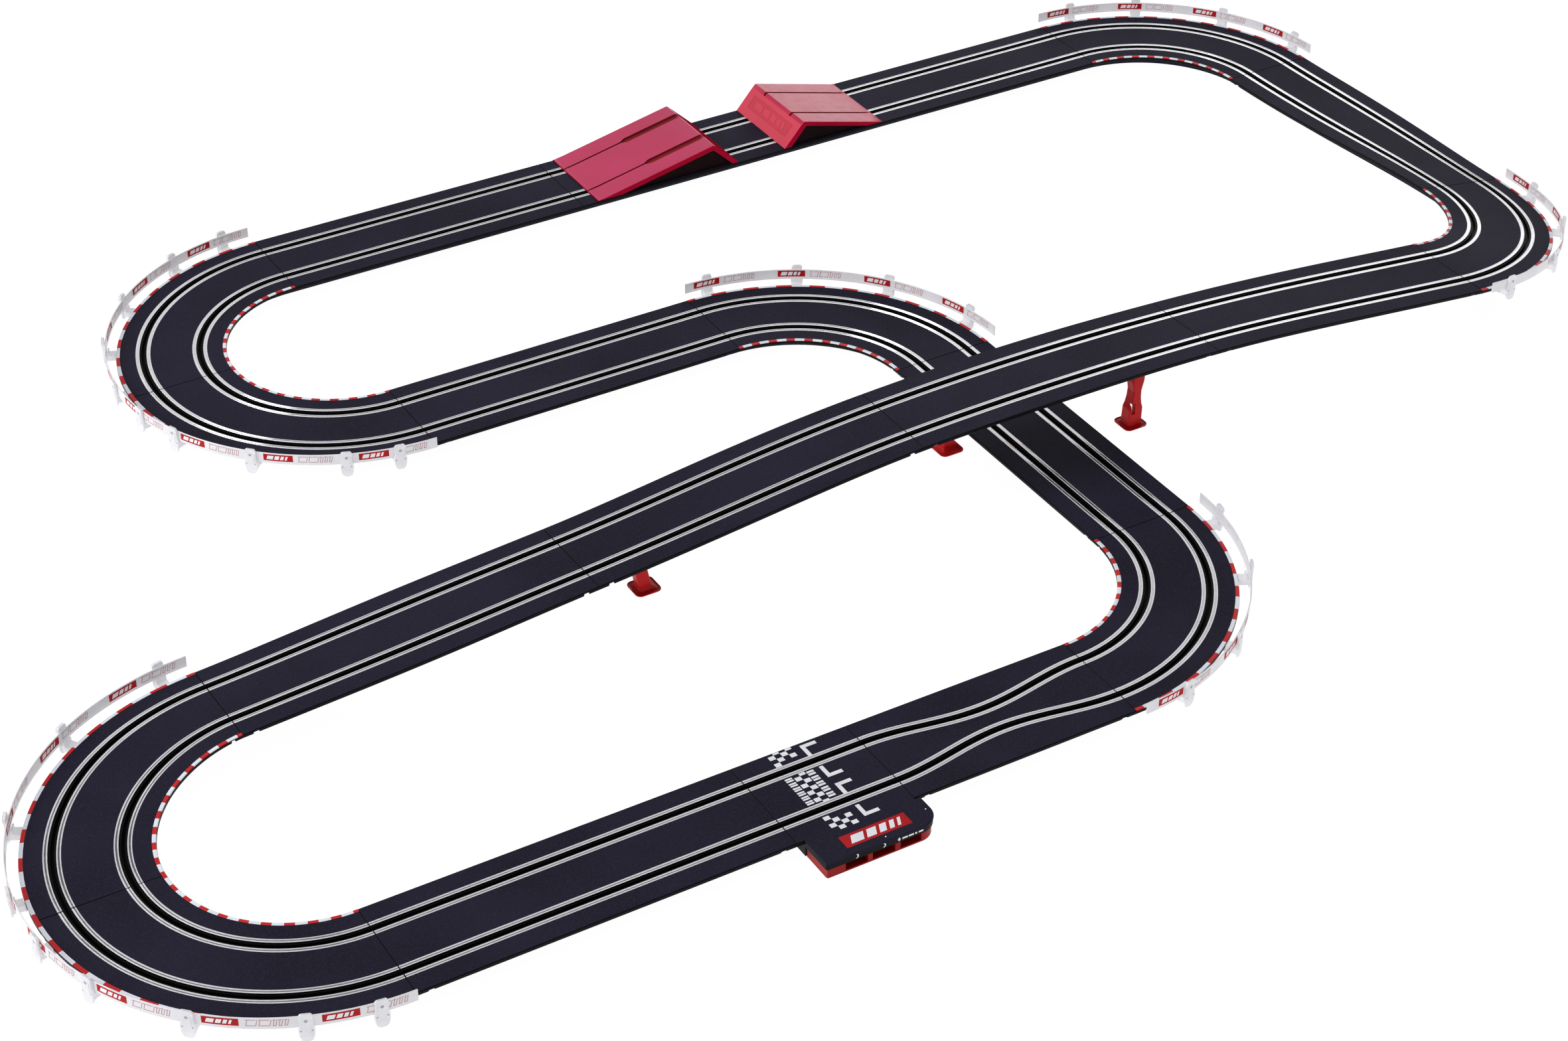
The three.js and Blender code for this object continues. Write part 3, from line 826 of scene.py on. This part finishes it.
def build_ramp(name, colour, x_start, profile, groove_half, node):
    """A bent plate. The profile holds (x, z, kind): the grooves sink where the kind is top, and
    groove_half(x) is half the width of a groove."""
    piece = Piece(name, [colour, GROOVE_SHADE, UNDER_SHADE, RAMP_SIDE_SHADE, LANDING_FACE_LIGHT], "crimson_plastic", node + "_body")
    count = len(ramp_columns(1.0))
    rows = []
    for j in range(count):
        row = []
        for x, z, kind in profile:
            y, sunk = ramp_columns(groove_half(x))[j]
            drop = min(GROOVE_DEPTH, GROOVE_SHARE * z) * sunk * (kind == "top")
            edge = RIM_DROP if j in (0, count - 1) and kind == "top" else 0.0
            row.append((x_start + x, JUMP_Y + y, RAMP_FLOOR + max(z - drop - edge, 0.0)))
        rows.append(row)

    def finish(i, j):
        kinds = (profile[j][2], profile[(j + 1) % len(profile)][2])
        # the underside takes the near-black of painted shade
        if kinds == ("under", "under"):
            return 2
        if "top" not in kinds:
            # faces off the top: on the take-off the darker side red of painted shade, on the landing the
            # lighter face red of painted light
            return 3 if colour is TAKE_OFF_SHEEN_CRIMSON else 4
        # the groove strips take the darker groove red, painted shade
        return int(kinds == ("top", "top") and i in GROOVE_COLUMNS)

    piece.grid(rows, finish)
    # both side faces take the side red of painted shade
    piece.finishes[-2:] = (3, 3)
    return piece


def take_off_profile():
    crest, height = TAKE_OFF_CREST
    foot, slope = TAKE_OFF_FOOT, height / crest
    points = [(0.0, 0.0, ""), (0.0, 0.6, ""), (0.8, 0.8, "")]
    for x in (1.4, 6.0, 14.0, 40.0, 72.5, 79.5, 110.0):
        points.append((x, x * slope + 0.5 * max(0.0, 1 - x / 14), "top"))
    points += [(crest - 1.6, (crest - 1.6) * slope, "top"), (crest - 0.2, height - 0.3, "top")]
    points += [(crest + 0.9, height - 1.1, "top"), (crest + 3.0, height - 3.0, "")]
    points += [(foot - 0.4, 0.4, ""), (foot - 1.0, 0.0, ""), (171.0, 0.0, "")]
    points += [(170.8, 0.2, "under"), (147.6, 22.2, "under"), (146.3, 23.2, "under")]
    points += [(144.0, 22.9, "under")]
    points += [(31.3, 0.1, "under"), (31.0, 0.0, "")]
    return points


def take_off_groove(x):
    """The take-off ramp's grooves open up halfway along it."""
    narrow, wide, start, end = 1.2, 4.6, 72.5, 79.5
    share = min(max((x - start) / (end - start), 0.0), 1.0)
    return narrow + (wide - narrow) * share


def landing_profile():
    crest, height = LANDING_CREST
    length, slope = LANDING_LENGTH, height / (LANDING_LENGTH - crest)
    notch = 3.4 / height     # the grooves run this share down the steep face
    points = [(0.0, 0.0, ""), (0.3, 0.4, "")]
    points += [(crest * (1 - notch) - 0.1, height * (1 - notch) - 0.11, "")]
    points += [(crest * (1 - notch), height * (1 - notch), "top")]
    points += [(crest - 0.7, height - 0.8, "top"), (crest + 0.3, height - 0.2, "top")]
    points += [(x, height - (x - crest) * slope, "top") for x in (crest + 1.6, 60.0, 90.0, 116.0, 128.0)]
    points += [(length, 0.4, ""), (length, 0.0, "")]
    points += [(111.0, 0.0, ""), (110.7, 0.1, "under"), (31.0, 21.2, "under"), (28.3, 21.7, "under")]
    points += [(26.6, 20.0, "under"), (8.7, 0.2, "under"), (8.5, 0.0, "")]
    return points


def build_shade_walls(name, x_start, outline, node):
    """Near-black walls under a ramp, just inside its two sides: painted shade that closes off the space
    under the ramp.
    """
    piece = Piece(name, [UNDER_SHADE], "crimson_plastic", node + "_body")
    for y0, y1 in SHADE_WALLS:
        prism(piece, outline, y0, y1, 0, 0.0, lambda x, z, y: (x_start + x, JUMP_Y + y, RAMP_FLOOR + z))
    return piece


def slanted_face_mark():
    """A rimmed panel with raised slanted bars on the landing ramp's steep face."""
    piece = Piece("landing_ramp_panel", [LANDING_FACE_LIGHT, LANDING_PANEL_LIGHT], "crimson_plastic", "landing_ramp_body")
    crest, height = LANDING_CREST
    face = math.hypot(crest, height)
    up = Vector((crest / face, 0, height / face))
    out = Vector((-height / face, 0, crest / face))
    base = Vector((LANDING_X, JUMP_Y, RAMP_FLOOR))

    def on_face(across, rise, depth):
        return tuple(base + up * rise + out * depth + Vector((0, across, 0)))

    x0, x1, z0, z1 = -42.0, 42.0, 10.5, 26.5
    rim = 0.9
    # panel, rim and bars are lighter copies of the crimson: painted light on the steep face
    prism(piece, rectangle(x0, x1, z0, z1), -0.3, 0.05, 1, 0.0, on_face)
    for outline in (
        rectangle(x0, x1, z0, z0 + rim), rectangle(x0, x1, z1 - rim, z1),
        rectangle(x0, x0 + rim, z0 + rim, z1 - rim), rectangle(x1 - rim, x1, z0 + rim, z1 - rim),
    ):
        prism(piece, outline, -0.3, 0.3, 1, 0.2, on_face)
    y = 34.0
    for width in (16.0, 13.0, 10.0, 7.0, 5.0):
        bar = [(y - width - 3.0, 14.5), (y - 3.0, 14.5), (y, 22.5), (y - width, 22.5)]
        prism(piece, bar, -0.3, 0.35, 0, 0.2, on_face)
        y -= width + 3.2
    return piece


build_ramp("take_off_ramp_plate", TAKE_OFF_SHEEN_CRIMSON, TAKE_OFF_X, take_off_profile(), take_off_groove,
           "take_off_ramp").make(replaces=["take_off_ramp"])
build_ramp("landing_ramp_plate", LANDING_TOP_LIGHT_COPY, LANDING_X, landing_profile(),
           lambda x: LANDING_GROOVE_HALF, "landing_ramp").make(replaces=["landing_ramp"])
build_shade_walls("take_off_ramp_shade_walls", TAKE_OFF_X, [(33.0, 0.2), (168.0, 0.2), (146.5, 24.0), (144.0, 23.6)],
           "take_off_ramp").make()
build_shade_walls("landing_ramp_shade_walls", LANDING_X, [(10.5, 0.2), (108.0, 0.2), (31.0, 21.8), (28.3, 22.4)],
           "landing_ramp").make()
slanted_face_mark().make()


# ---------------------------------------------------------------- fences and holders

FENCE = {"offset": 65.0, "half": 0.5, "bottom": 1.9, "top": 13.3, "end_gap": 2.1}

# For each fence: its curves, which way round the print of each curve's strip runs, the angles of the
# holders that are CAD nodes, and the angles of those in between.
FENCES = {
    "right_front": (["right_front_curve"], [False], (12.5, 34, 60, 82), ()),
    "right_middle": (["right_middle_curve"], [True], (11, 35.5, 59.5, 83), ()),
    "rear_loop": (["rear_loop_curve_1", "rear_loop_curve_2"], [True, False],
                  (10, 45, 79, 113, 156), (22.5, 66.5, 93, 134, 172)),
    "far": (["far_curve"], [False], (11.5, 31.5, 57.5, 82), ()),
    "climbing": (["climbing_curve"], [False], (12.5, 36, 60, 83), ()),
    "front_loop": (["front_loop_curve_1", "front_loop_curve_2"], [True, False],
                   (33, 61, 98, 136, 172), (7, 83, 114, 158)),
}
FENCE_STEP = math.radians(2.5) * CURVE_RADIUS
LABELS_PER_STRIP = 4
LABEL_START = 3.8        # in degrees, like the widths of the print below
LABEL_PITCH = 22.4
LABEL_WIDTH = 7.05
OUTLINE_WIDTH = 0.14
REVERSED_START = 90.6    # a strip that runs the other way round is measured back from here
DEGREE = CURVE_LENGTH / 90


def fence_profile():
    offset, half, bottom, top = FENCE["offset"], FENCE["half"], FENCE["bottom"], FENCE["top"]
    return [
        (offset - half, bottom + 0.2), (offset - half + 0.2, bottom), (offset + half - 0.2, bottom),
        (offset + half, bottom + 0.2), (offset + half, top - 0.25), (offset + half - 0.25, top),
        (offset - half + 0.25, top), (offset - half, top - 0.25),
    ]


def build_fence(name, run):
    piece = Piece(name + "_strip", [FROSTED], "clear_plastic", name + "_fence_body")
    side = -run[0]["turn"]
    length = len(run) * CURVE_LENGTH
    rows = []
    for s in spaced(FENCE["end_gap"], length - FENCE["end_gap"], FENCE_STEP):
        rows.append([along(run, s, side * t, z) for t, z in fence_profile()])
    piece.grid(rows, lambda i, j: 0)
    return piece


def decal(piece, run, corners, depth, finish, faces):
    """A thin printed quad on a fence's faces: corners are four (angle, z), in order."""
    offset, half = FENCE["offset"], FENCE["half"]
    side = -run[0]["turn"]
    low_start, low_end, high_end, high_start = corners
    count = max(1, round(abs(low_end[0] - low_start[0])))
    for way in faces:
        face, skin = offset + way * half, way * depth
        rows = []
        for k in range(count + 1):
            u = k / count
            row = []
            for start, end, skins in ((low_start, low_end, (-0.5, 1)), (high_start, high_end, (1, -0.5))):
                s = (start[0] + (end[0] - start[0]) * u) * DEGREE
                z = start[1] + (end[1] - start[1]) * u
                row += [along(run, s, side * (face + skin * share), z) for share in skins]
            rows.append(row)
        piece.grid(rows, lambda i, j: finish)


def build_strip_print(piece, run, start, reversed_print, labels, faces):
    """One strip's labels, each followed by outlined bars, in degrees from the strip's start."""

    def at(angle):
        return start + (REVERSED_START - angle if reversed_print else angle)

    def slab(left, right, lean, low, high, depth, finish):
        corners = [(at(left), low), (at(right), low), (at(right + lean), high), (at(left + lean), high)]
        decal(piece, run, corners, depth, finish, faces)

    for k in range(labels):
        left = LABEL_START + LABEL_PITCH * k
        slab(left, left + LABEL_WIDTH, 0.0, 4.9, 12.2, 0.06, 0)
        x = left + 0.7
        for width in (1.5, 1.05, 0.75, 0.5):
            slab(x, x + width, 0.35, 6.5, 10.6, 0.12, 1)
            x += width + 0.35
        x = left + LABEL_WIDTH + 1.2
        for width in (2.0, 2.2, 0.65, 0.65, 0.65):
            for low, high in ((5.1, 5.7), (10.9, 11.5)):
                slab(x, x + width, 0.05, low, high, 0.05, 2)
            for edge in (x, x + width - OUTLINE_WIDTH):
                slab(edge, edge + OUTLINE_WIDTH, 0.35, 5.1, 11.5, 0.07, 2)
            x += width + 0.42


def build_fence_print(name, run, directions):
    """Red labels with white slanted bars and pale outlined bars between them."""
    piece = Piece(name + "_print", [PRINT_RED, PRINT_WHITE, PRINT_GREY], None, name + "_fence_body")
    labels = LABELS_PER_STRIP - (name == "climbing")        # its last label is missing
    faces = (1,) if name == "right_front" else (-1, 1)      # 1 is the outside
    for k, reversed_print in enumerate(directions):
        build_strip_print(piece, run, 90.0 * k, reversed_print, labels, faces)
    return piece


def holder_plate(top, low, rounding):
    """The holder's upright seen from outside the track, as (across, height), anticlockwise."""
    left = arc(-top + rounding, 16.8 - rounding, rounding, 180, 90, 3)
    left = [(-4.4, -9.6), (-5.6, -6.5), (-low, -2.0), (-low, 1.5), (-top, 6.0)] + left
    foot = [(-2.2, -11.0), (2.2, -11.0)]
    right = [(-across, z) for across, z in left]
    return foot + right + left[::-1]


HOLDER_HALF = 5.0        # half the width of the holder's arm and hook
HOLDER_BACK = 66.2       # distances from the track's centre line: the upright's two faces, and its
HOLDER_FRONT = 68.3      # raised cap and tongue
HOLDER_RAISED = 68.65


def build_holder(name, run, angle):
    """An upright outside the fence with a raised cap and tongue, an arm to the track and a hook round
    the track's skirt."""
    piece = Piece(name, [CLEAR, HOLE_SHADE], "clear_plastic")
    side = -run[0]["turn"]
    middle = angle * DEGREE
    scale = CURVE_RADIUS / (CURVE_RADIUS + FENCE["offset"])

    def place(across, height, t):
        return along(run, middle + across * scale, side * t, height)

    prism(piece, holder_plate(5.3, 6.3, 2.4), HOLDER_BACK, HOLDER_FRONT, 0, 0.4, place)
    cap = [(-5.2, 12.4)] + arc(-2.9, 14.4, 2.4, 180, 90, 3)
    cap += [(-across, z) for across, z in reversed(cap)]
    prism(piece, cap, HOLDER_BACK, HOLDER_RAISED, 0, 0.3, place)
    tongue = [(-3.1, 1.0)] + arc(0.0, 9.6, 3.1, 180, 0, 8) + [(3.1, 1.0)]
    prism(piece, tongue, HOLDER_FRONT - 0.1, HOLDER_RAISED, 0, 0.25, place)
    # the hole is a flat disc in the darker grey of painted shade
    hole = arc(0.0, 10.6, 1.5, 0, 324, 9)
    prism(piece, hole, HOLDER_RAISED - 0.05, HOLDER_RAISED + 0.05, 1, 0.0, place)
    for across in (-4.3, 4.3):
        pin = arc(across, 0.3, 0.8, 0, 315, 7)
        prism(piece, pin, HOLDER_FRONT - 0.1, HOLDER_FRONT + 0.04, 1, 0.0, place)
    for low, high, near, far, bevel in (
        (-6.6, -0.9, 55.9, 67.2, 0.0),     # the arm to the track
        (-1.4, 2.9, 62.2, 63.9, 0.3),      # the lip inside the fence
        (-7.3, -5.5, 50.6, 56.4, 0.0),     # the hook's shelf under the skirt
        (-5.7, -2.9, 50.6, 52.5, 0.0),     # the hook's upturned end
    ):
        tab = [(-HOLDER_HALF, high), (-HOLDER_HALF, low), (HOLDER_HALF, low), (HOLDER_HALF, high)]
        prism(piece, tab, near, far, 0, bevel, place)
    return piece


for name, (sections, directions, cad_angles, between) in FENCES.items():
    run = [SECTION[each] for each in sections]
    build_fence(name, run).make(replaces=[name + "_fence"])
    build_fence_print(name, run, directions).make()
    for k, angle in enumerate(cad_angles + between):
        holder = build_holder(f"{name}_clip_{k + 1}", run, angle)
        holder.make(replaces=[f"{name}_holder_{k + 1}"] if k < len(cad_angles) else ())


# ---------------------------------------------------------------- carried-over CAD nodes

def dress(node, material):
    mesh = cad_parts[node].data
    mesh.materials.clear()
    mesh.materials.append(material)


for support in ("support_low", "support_middle", "support_tall"):
    dress(support, SUPPORT_RED)
dress("terminal_contact_strip", STEEL)


# ---------------------------------------------------------------- stage, light and camera

FLOOR_HALF = 45.0        # metres: its edge stays out of sight from every side


def build_floor():
    mesh = bpy.data.meshes.new("floor")
    corners = [(x, y, 0.0) for x, y in rectangle(-FLOOR_HALF, FLOOR_HALF, -FLOOR_HALF, FLOOR_HALF)]
    mesh.from_pydata(corners, [], [(0, 1, 2, 3)])
    mesh.materials.append(floor_paint())
    floor = bpy.data.objects.new("floor", mesh)
    bpy.context.scene.collection.objects.link(floor)
    floor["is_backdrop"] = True


def add_area_light(name, place, aim, size, power):
    light = bpy.data.lights.new(name, "AREA")
    light.shape = "DISK"
    light.size = size
    light.energy = power
    lamp = bpy.data.objects.new(name, light)
    lamp.location = place
    direction = Vector(aim) - Vector(place)
    lamp.rotation_euler = direction.to_track_quat("-Z", "Y").to_euler()
    bpy.context.scene.collection.objects.link(lamp)


WORLD_STRENGTH = 0.69
WORLD_STOPS = (          # colour by the height of the direction: one dark band for the rails to mirror
    (0.575, (1.0, 1.0, 1.0, 1.0)), (0.66, (0.08, 0.08, 0.085, 1.0)),
    (0.76, (0.08, 0.08, 0.08, 1.0)), (0.83, (1.0, 1.0, 1.0, 1.0)),
)


def light_the_studio():
    world = bpy.data.worlds.new("studio")
    world.use_nodes = True
    nodes, links = world.node_tree.nodes, world.node_tree.links
    background = nodes["Background"]
    background.inputs["Strength"].default_value = WORLD_STRENGTH
    split = nodes.new("ShaderNodeSeparateXYZ")
    links.new(nodes.new("ShaderNodeTexCoord").outputs["Generated"], split.inputs["Vector"])
    ramp = nodes.new("ShaderNodeValToRGB")
    stops = ramp.color_ramp.elements
    for k, (place, colour) in enumerate(WORLD_STOPS):
        stop = stops[k] if k < 2 else stops.new(place)
        stop.position = place
        stop.color = colour
    links.new(split.outputs["Z"], ramp.inputs["Fac"])
    links.new(ramp.outputs["Color"], background.inputs["Color"])
    bpy.context.scene.world = world
    add_area_light("key", (-3.2, 0.7, 2.6), (0.1, 0.0, 0.0), 2.4, 95.0)
    add_area_light("back", (2.9, 3.3, 1.25), (0.3, 0.4, 0.0), 2.4, 18.0)
    bpy.context.scene.view_settings.view_transform = "Standard"


CAMERA_PLACE = (-647.56, -1858.25, 1667.1)    # route frame
CAMERA_AZIMUTH = 30.872                       # from +Y towards +X
CAMERA_ELEVATION = -35.156
CAMERA_ROLL = 0.243
CAMERA_LENS = 70.797


def add_camera():
    data = bpy.data.cameras.new("camera")
    data.sensor_fit = "HORIZONTAL"
    data.sensor_width = 36.0
    data.lens = CAMERA_LENS
    data.clip_end = 50.0
    camera = bpy.data.objects.new("camera", data)
    azimuth, elevation = math.radians(CAMERA_AZIMUTH), math.radians(CAMERA_ELEVATION)
    turn = Matrix.Rotation(-azimuth, 3, "Z") @ Matrix.Rotation(math.pi / 2 + elevation, 3, "X")
    turn = turn @ Matrix.Rotation(math.radians(CAMERA_ROLL), 3, "Z")
    camera.matrix_world = Matrix.Translation(put(*CAMERA_PLACE)) @ turn.to_4x4()
    bpy.context.scene.collection.objects.link(camera)
    bpy.context.scene.camera = camera


build_floor()
light_the_studio()
add_camera()

boxes = {"cad": cad_box, "visual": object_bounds()}
{key: [list(corner) for corner in box] for key, box in boxes.items()}
